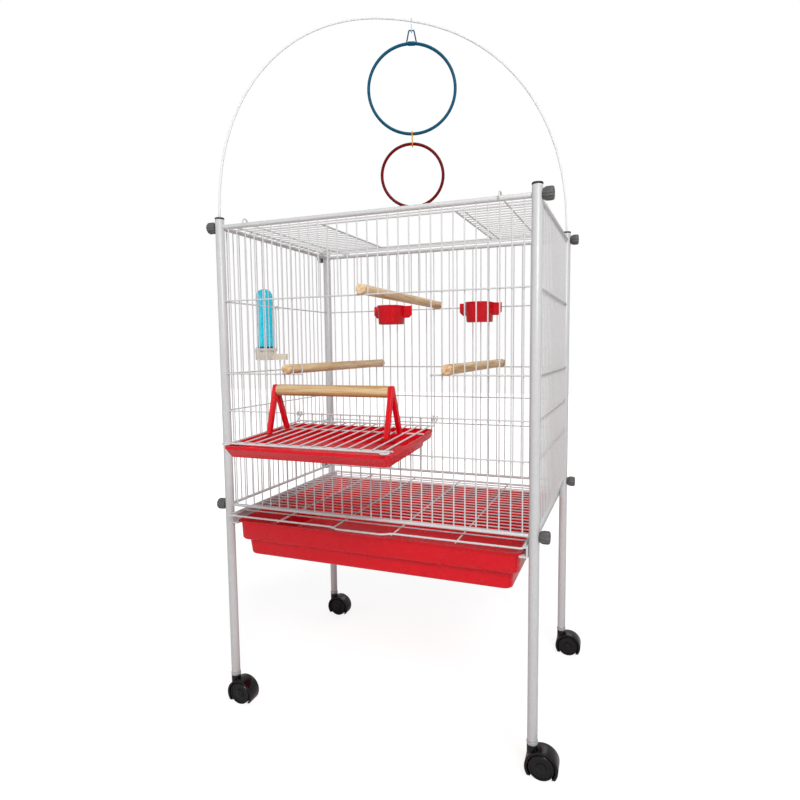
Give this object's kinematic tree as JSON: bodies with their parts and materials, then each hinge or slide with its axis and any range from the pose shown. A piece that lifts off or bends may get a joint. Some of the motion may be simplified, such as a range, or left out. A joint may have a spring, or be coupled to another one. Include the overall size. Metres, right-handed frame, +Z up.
{
  "type": "bird cage",
  "caption": "Rectangular wire bird cage on castor posts, with a drop-down door, pull-out tray and grate, perches, cups, a bottle and an arch with hanging rings.",
  "frame": {"origin": "middle of the foot of the whole cage's box, on the floor, with the door open", "axes": "+Z up, the door opens towards -Y, +X to the right seen from the front"},
  "size_m": [0.6154, 0.5848, 1.2087],
  "materials": {
    "white_steel": "white enamel",
    "grey_steel": "plain grey",
    "black_plastic": "satin",
    "red_plastic": "glossy",
    "pine": "plain sanded",
    "white_rod": "white enamel",
    "clear_plastic": "translucent",
    "blue_plastic": "glossy",
    "yellow_plastic": "glossy",
    "aqua_plastic": "translucent",
    "cream_plastic": "satin"
  },
  "bodies": {
    "cage": {"arch_rod": "white_rod", "back_panel": "white_steel", "bottle_basin": "cream_plastic", "bottle_holder": "white_steel", "cap_back_left": "black_plastic", "cap_back_right": "black_plastic", "cap_front_left": "black_plastic", "cap_front_right": "black_plastic", "front_panel": "white_steel", "left_panel": "white_steel", "perch_high": "pine", "perch_left": "pine", "perch_right": "pine", "post_back_left": "white_steel", "post_back_right": "white_steel", "post_front_left": "white_steel", "post_front_right": "white_steel", "right_panel": "white_steel", "roof_panel": "white_steel", "runner_left": "white_steel", "runner_right": "white_steel", "socket_back_left": "grey_steel", "socket_back_right": "grey_steel", "socket_front_left": "grey_steel", "socket_front_right": "grey_steel"},
    "door": {"door_leaf": "white_steel", "door_perch": "pine", "door_stand_left": "red_plastic", "door_stand_right": "red_plastic", "door_tray": "red_plastic"},
    "tray": {"bottom_tray": "red_plastic"},
    "grate": {"floor_grate": "white_steel"},
    "clip": {"ring_clip": "clear_plastic"},
    "blue_ring": {"ring_blue": "blue_plastic"},
    "link": {"ring_link": "yellow_plastic"},
    "red_ring": {"ring_red": "red_plastic"},
    "cup_left": {"cup_left": "red_plastic"},
    "cup_right": {"cup_right": "red_plastic"},
    "bottle": {"bottle_tube": "aqua_plastic"},
    "caster_front_left": {"yoke_front_left": "black_plastic"},
    "wheels_front_left": {"wheels_front_left": "black_plastic"},
    "caster_front_right": {"yoke_front_right": "black_plastic"},
    "wheels_front_right": {"wheels_front_right": "black_plastic"},
    "caster_back_left": {"yoke_back_left": "black_plastic"},
    "wheels_back_left": {"wheels_back_left": "black_plastic"},
    "caster_back_right": {"yoke_back_right": "black_plastic"},
    "wheels_back_right": {"wheels_back_right": "black_plastic"},
    "knob_top_front_left": {"knob_top_front_left": "black_plastic"},
    "knob_top_front_right": {"knob_top_front_right": "black_plastic"},
    "knob_top_back_left": {"knob_top_back_left": "black_plastic"},
    "knob_top_back_right": {"knob_top_back_right": "black_plastic"},
    "knob_base_front_left": {"knob_base_front_left": "black_plastic"},
    "knob_base_front_right": {"knob_base_front_right": "black_plastic"},
    "knob_base_back_left": {"knob_base_back_left": "black_plastic"},
    "knob_base_back_right": {"knob_base_back_right": "black_plastic"}
  },
  "joints": [
    {"name": "swivel_front_left", "type": "hinge", "parent": "cage", "child": "caster_front_left", "pos_m": [-0.25783, -0.09512, 0.0476], "axis": [0, 0, 1], "continuous": true},
    {"name": "roll_front_left", "type": "hinge", "parent": "caster_front_left", "child": "wheels_front_left", "pos_m": [-0.24363, -0.09474, 0.0195], "axis": [-0.0262, 0.9997, 0], "continuous": true},
    {"name": "swivel_front_right", "type": "hinge", "parent": "cage", "child": "caster_front_right", "pos_m": [0.26917, -0.09512, 0.0476], "axis": [0, 0, 1], "continuous": true},
    {"name": "roll_front_right", "type": "hinge", "parent": "caster_front_right", "child": "wheels_front_right", "pos_m": [0.28337, -0.09474, 0.0195], "axis": [-0.0262, 0.9997, 0], "continuous": true},
    {"name": "swivel_back_left", "type": "hinge", "parent": "cage", "child": "caster_back_left", "pos_m": [-0.25783, 0.27888, 0.0476], "axis": [0, 0, 1], "continuous": true},
    {"name": "roll_back_left", "type": "hinge", "parent": "caster_back_left", "child": "wheels_back_left", "pos_m": [-0.24363, 0.27926, 0.0195], "axis": [-0.0262, 0.9997, 0], "continuous": true},
    {"name": "swivel_back_right", "type": "hinge", "parent": "cage", "child": "caster_back_right", "pos_m": [0.26917, 0.27888, 0.0476], "axis": [0, 0, 1], "continuous": true},
    {"name": "roll_back_right", "type": "hinge", "parent": "caster_back_right", "child": "wheels_back_right", "pos_m": [0.28337, 0.27926, 0.0195], "axis": [-0.0262, 0.9997, 0], "continuous": true},
    {"name": "turn_top_front_left", "type": "hinge", "parent": "cage", "child": "knob_top_front_left", "pos_m": [-0.25783, -0.09512, 0.8346], "axis": [1, 0, 0], "continuous": true},
    {"name": "turn_top_front_right", "type": "hinge", "parent": "cage", "child": "knob_top_front_right", "pos_m": [0.26917, -0.09512, 0.8346], "axis": [1, 0, 0], "continuous": true},
    {"name": "turn_top_back_left", "type": "hinge", "parent": "cage", "child": "knob_top_back_left", "pos_m": [-0.25783, 0.27888, 0.8346], "axis": [1, 0, 0], "continuous": true},
    {"name": "turn_top_back_right", "type": "hinge", "parent": "cage", "child": "knob_top_back_right", "pos_m": [0.26917, 0.27888, 0.8346], "axis": [1, 0, 0], "continuous": true},
    {"name": "turn_base_front_left", "type": "hinge", "parent": "cage", "child": "knob_base_front_left", "pos_m": [-0.25783, -0.09512, 0.3596], "axis": [1, 0, 0], "continuous": true},
    {"name": "turn_base_front_right", "type": "hinge", "parent": "cage", "child": "knob_base_front_right", "pos_m": [0.26917, -0.09512, 0.3596], "axis": [1, 0, 0], "continuous": true},
    {"name": "turn_base_back_left", "type": "hinge", "parent": "cage", "child": "knob_base_back_left", "pos_m": [-0.25783, 0.27888, 0.3596], "axis": [1, 0, 0], "continuous": true},
    {"name": "turn_base_back_right", "type": "hinge", "parent": "cage", "child": "knob_base_back_right", "pos_m": [0.26917, 0.27888, 0.3596], "axis": [1, 0, 0], "continuous": true},
    {"name": "door_hinge", "type": "hinge", "parent": "cage", "child": "door", "pos_m": [0.00567, -0.09742, 0.5246], "axis": [-1, 0, 0], "range_deg": [0, 93]},
    {"name": "tray_slide", "type": "slide", "parent": "cage", "child": "tray", "axis": [0, -1, 0], "range_m": [0, 0.33]},
    {"name": "grate_slide", "type": "slide", "parent": "cage", "child": "grate", "axis": [0, -1, 0], "range_m": [0, 0.33]},
    {"name": "cup_left_lift", "type": "slide", "parent": "cage", "child": "cup_left", "axis": [0, 0, 1], "range_m": [0, 0.012]},
    {"name": "cup_right_lift", "type": "slide", "parent": "cage", "child": "cup_right", "axis": [0, 0, 1], "range_m": [0, 0.012]},
    {"name": "bottle_lift", "type": "slide", "parent": "cage", "child": "bottle", "axis": [0, 0, 1], "range_m": [0, 0.03]},
    {"name": "clip_swing", "type": "hinge", "parent": "cage", "child": "clip", "pos_m": [0.01709, 0.09999, 1.20414], "axis": [0.8155, 0.5787, 0], "range_deg": [-60, 60]},
    {"name": "blue_ring_swing", "type": "hinge", "parent": "clip", "child": "blue_ring", "pos_m": [0.01709, 0.09999, 1.18814], "axis": [-0.342, 0.9397, 0], "range_deg": [-26, 26]},
    {"name": "link_swing", "type": "hinge", "parent": "blue_ring", "child": "link", "pos_m": [0.01709, 0.09999, 1.01174], "axis": [0.9397, 0.342, 0], "range_deg": [-60, 60]},
    {"name": "red_ring_swing", "type": "hinge", "parent": "link", "child": "red_ring", "pos_m": [0.01709, 0.09999, 0.99424], "axis": [-0.342, 0.9397, 0], "range_deg": [-20, 20]}
  ]
}
